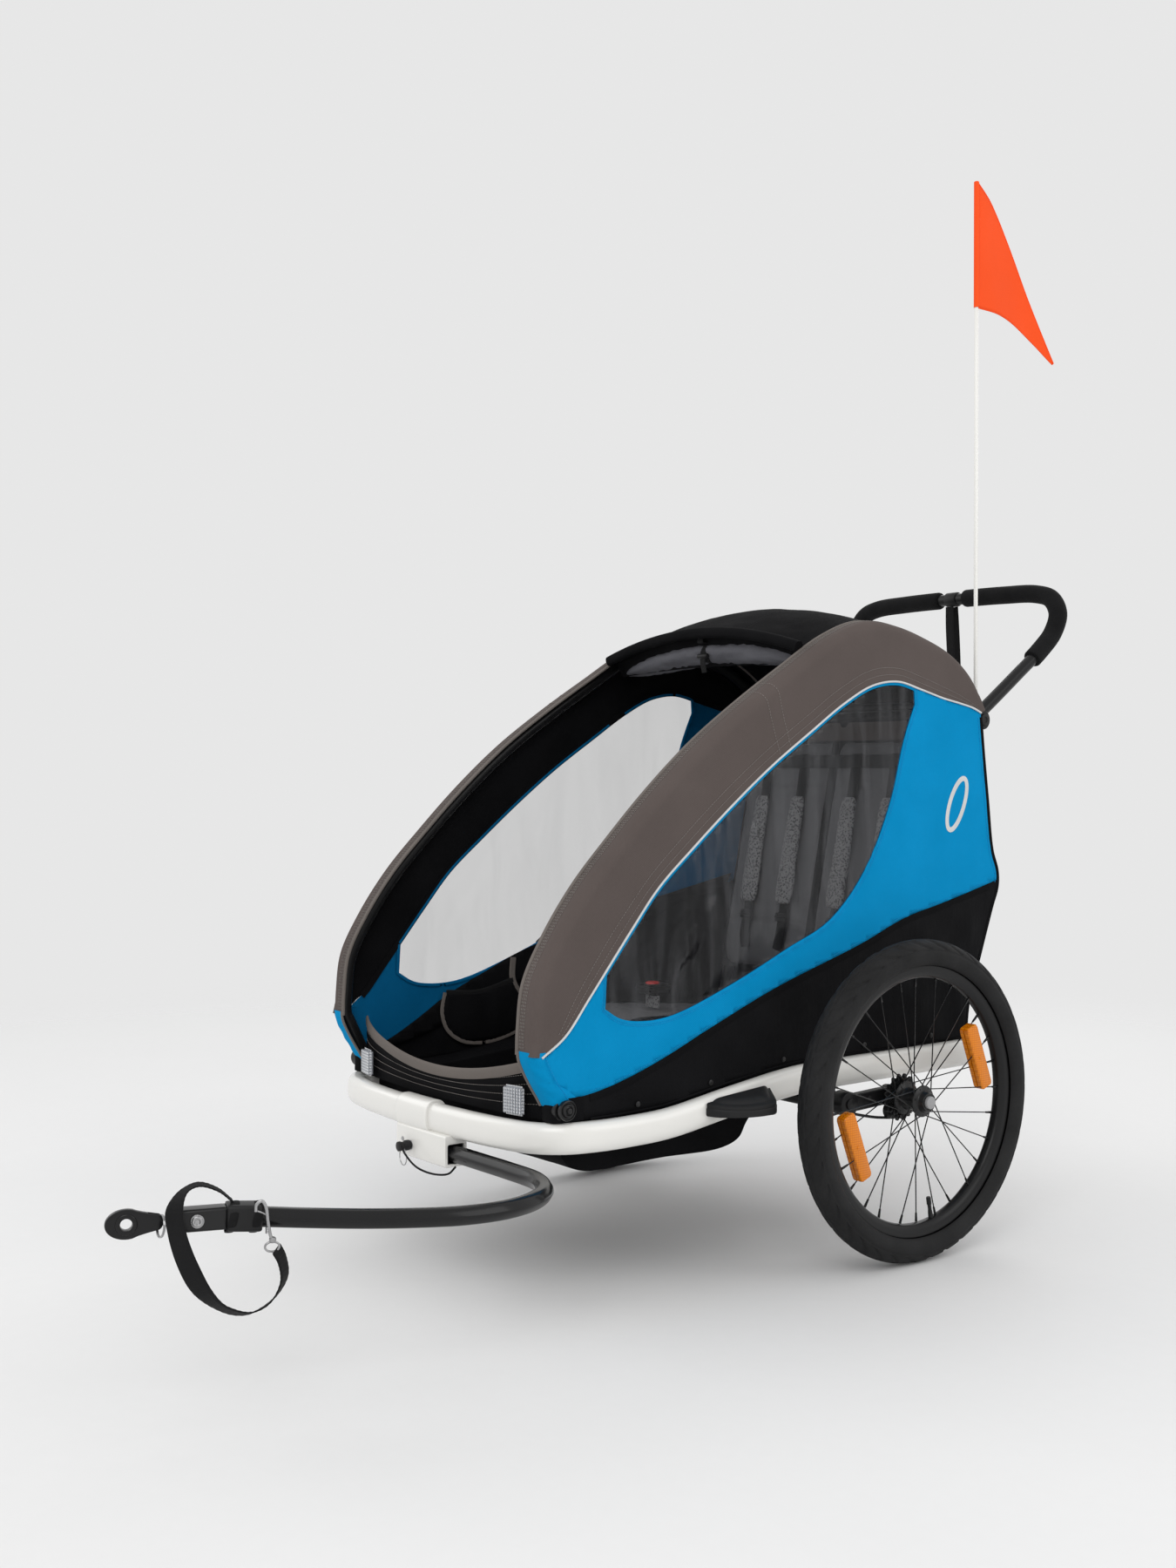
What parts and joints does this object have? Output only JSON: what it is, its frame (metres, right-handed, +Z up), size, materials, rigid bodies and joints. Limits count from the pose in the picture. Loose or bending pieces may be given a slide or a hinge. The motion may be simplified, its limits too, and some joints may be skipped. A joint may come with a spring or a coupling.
{
  "type": "child bicycle trailer",
  "caption": "Two-wheeled child bicycle trailer with fabric cabin, see-through side windows, side tow bar with hitch, push handle and safety flag.",
  "frame": {"origin": "on the ground under the centre of the whole object's box, halfway between the wheels and halfway from the hitch to the back of the tyres", "axes": "+Z up, -Y forward in the direction of travel, +X to the trailer's left; the wheels turn about X"},
  "size_m": [0.84, 1.8239, 1.79],
  "materials": {
    "frame_white": "off-white gloss powder coat",
    "black_tube": "semi-gloss black powder coat",
    "black_plastic": "satin moulded plastic",
    "black_fabric": "coated woven polyester",
    "blue_fabric": "coated woven polyester",
    "taupe_fabric": "coated woven polyester with seams and reflective piping",
    "grey_fabric": "woven polyester",
    "window_film": "tinted flexible vinyl film",
    "bright_steel": "zinc plated",
    "tyre_rubber": "moulded rubber",
    "clear_reflector": "ribbed prismatic lens",
    "flag_orange": "thin fluorescent nylon",
    "red_plastic": "moulded",
    "foam_black": "soft foam grip",
    "grey_plastic": "moulded"
  },
  "bodies": {
    "trailer": {"base_frame": "frame_white", "rear_crossbar": "black_tube", "axle_beam": "black_tube", "hitch_bracket": "frame_white", "tow_bar": "black_tube", "hitch_block": "black_plastic", "hitch_bolt": "bright_steel", "pin_tether": "black_fabric", "safety_strap": "black_fabric", "snap_hook": "bright_steel", "floor_tub": "black_fabric", "front_panel": "black_fabric", "front_reflector_left": "clear_reflector", "front_reflector_right": "clear_reflector", "seat_cushion": "grey_fabric", "crotch_buckle_left": "black_plastic", "crotch_buckle_right": "black_plastic", "side_panel_left": "blue_fabric", "side_panel_right": "blue_fabric", "window_left": "window_film", "window_right": "window_film", "luggage_bag": "black_fabric", "wheel_guard_left": "black_plastic", "wheel_guard_right": "black_plastic"},
    "hoop": {"hoop_frame": "black_tube", "sleeve_left": "taupe_fabric", "sleeve_right": "taupe_fabric", "roof_panel": "black_fabric", "rolled_cover": "grey_fabric", "handle_hinge_left": "black_plastic", "handle_hinge_right": "black_plastic", "flag_holder": "black_plastic"},
    "backrest": {"back_frame": "black_tube", "seat_back": "grey_fabric", "harness": "black_fabric"},
    "handle": {"handle_tube": "black_tube", "handle_grip_left": "foam_black", "handle_grip_right": "foam_black", "wrist_strap": "black_fabric"},
    "flag": {"flag_pole": "frame_white", "flag": "flag_orange"},
    "hitch_ball": {"hitch_ball": "black_tube"},
    "hitch_eye": {"hitch_eye": "black_tube"},
    "bar_pin": {"tow_bar_pin": "black_plastic"},
    "brake_pedal": {"brake_pedal": "red_plastic"},
    "release_left": {"buckle_button_left": "red_plastic"},
    "arm_left": {"suspension_arm_left": "black_tube"},
    "wheel_left": {"tyre_left": "tyre_rubber", "rim_left": "black_tube", "hub_left": "black_plastic", "spokes_left": "black_tube"},
    "button_left": {"hub_button_left": "grey_plastic"},
    "release_right": {"buckle_button_right": "red_plastic"},
    "arm_right": {"suspension_arm_right": "black_tube"},
    "wheel_right": {"tyre_right": "tyre_rubber", "rim_right": "black_tube", "hub_right": "black_plastic", "spokes_right": "black_tube"},
    "button_right": {"hub_button_right": "grey_plastic"}
  },
  "joints": [
    {"name": "hoop_fold", "type": "hinge", "parent": "trailer", "child": "hoop", "pos_m": [0, -0.2504, 0.29], "axis": [-1, 0, 0], "range_deg": [0, 28], "deforming": ["side_panel_left", "side_panel_right", "window_left", "window_right", "luggage_bag", "rolled_cover"]},
    {"name": "back_fold", "type": "hinge", "parent": "trailer", "child": "backrest", "pos_m": [0, 0.5096, 0.33], "axis": [1, 0, 0], "range_deg": [0, 72]},
    {"name": "handle_tilt", "type": "hinge", "parent": "hoop", "child": "handle", "pos_m": [0, 0.6496, 0.848], "axis": [1, 0, 0], "range_deg": [-75, 6]},
    {"name": "flag_slide", "type": "slide", "parent": "hoop", "child": "flag", "axis": [0, 0, 1], "range_m": [0, 0.08]},
    {"name": "hitch_yaw", "type": "hinge", "parent": "trailer", "child": "hitch_ball", "pos_m": [0.2934, -0.831, 0.234], "axis": [0, 0, 1], "range_deg": [-20, 20]},
    {"name": "hitch_pitch", "type": "hinge", "parent": "hitch_ball", "child": "hitch_eye", "pos_m": [0.2846, -0.8554, 0.234], "axis": [0.9404, -0.3401, 0], "range_deg": [-25, 25]},
    {"name": "pin_slide", "type": "slide", "parent": "trailer", "child": "bar_pin", "axis": [0, -1, 0], "range_m": [0, 0.055], "deforming": ["pin_tether"]},
    {"name": "pedal", "type": "hinge", "parent": "trailer", "child": "brake_pedal", "pos_m": [0, 0.6116, 0.281], "axis": [-1, 0, 0], "range_deg": [0, 25]},
    {"name": "arm_left", "type": "hinge", "parent": "trailer", "child": "arm_left", "pos_m": [0.333, 0.2496, 0.248], "axis": [1, 0, 0], "range_deg": [0, 10], "stiffness_Nm_per_rad": 120, "springref_deg": -6.88},
    {"name": "wheel_left", "type": "hinge", "parent": "arm_left", "child": "wheel_left", "pos_m": [0.39, 0.3496, 0.25], "axis": [1, 0, 0], "continuous": true},
    {"name": "button_left", "type": "slide", "parent": "wheel_left", "child": "button_left", "axis": [-1, 0, 0], "range_m": [0, 0.004], "stiffness_N_per_m": 800, "springref_m": -0.004},
    {"name": "release_left", "type": "slide", "parent": "trailer", "child": "release_left", "axis": [0, 0, -1], "range_m": [0, 0.0025], "stiffness_N_per_m": 800, "springref_m": -0.003},
    {"name": "arm_right", "type": "hinge", "parent": "trailer", "child": "arm_right", "pos_m": [-0.333, 0.2496, 0.248], "axis": [1, 0, 0], "range_deg": [0, 10], "stiffness_Nm_per_rad": 120, "springref_deg": -6.88},
    {"name": "wheel_right", "type": "hinge", "parent": "arm_right", "child": "wheel_right", "pos_m": [-0.39, 0.3496, 0.25], "axis": [1, 0, 0], "continuous": true},
    {"name": "button_right", "type": "slide", "parent": "wheel_right", "child": "button_right", "axis": [1, 0, 0], "range_m": [0, 0.004], "stiffness_N_per_m": 800, "springref_m": -0.004},
    {"name": "release_right", "type": "slide", "parent": "trailer", "child": "release_right", "axis": [0, 0, -1], "range_m": [0, 0.0025], "stiffness_N_per_m": 800, "springref_m": -0.003}
  ],
  "couplings": [
    {"joint": "back_fold", "follows": "hoop_fold", "ratio": 2.55}
  ]
}
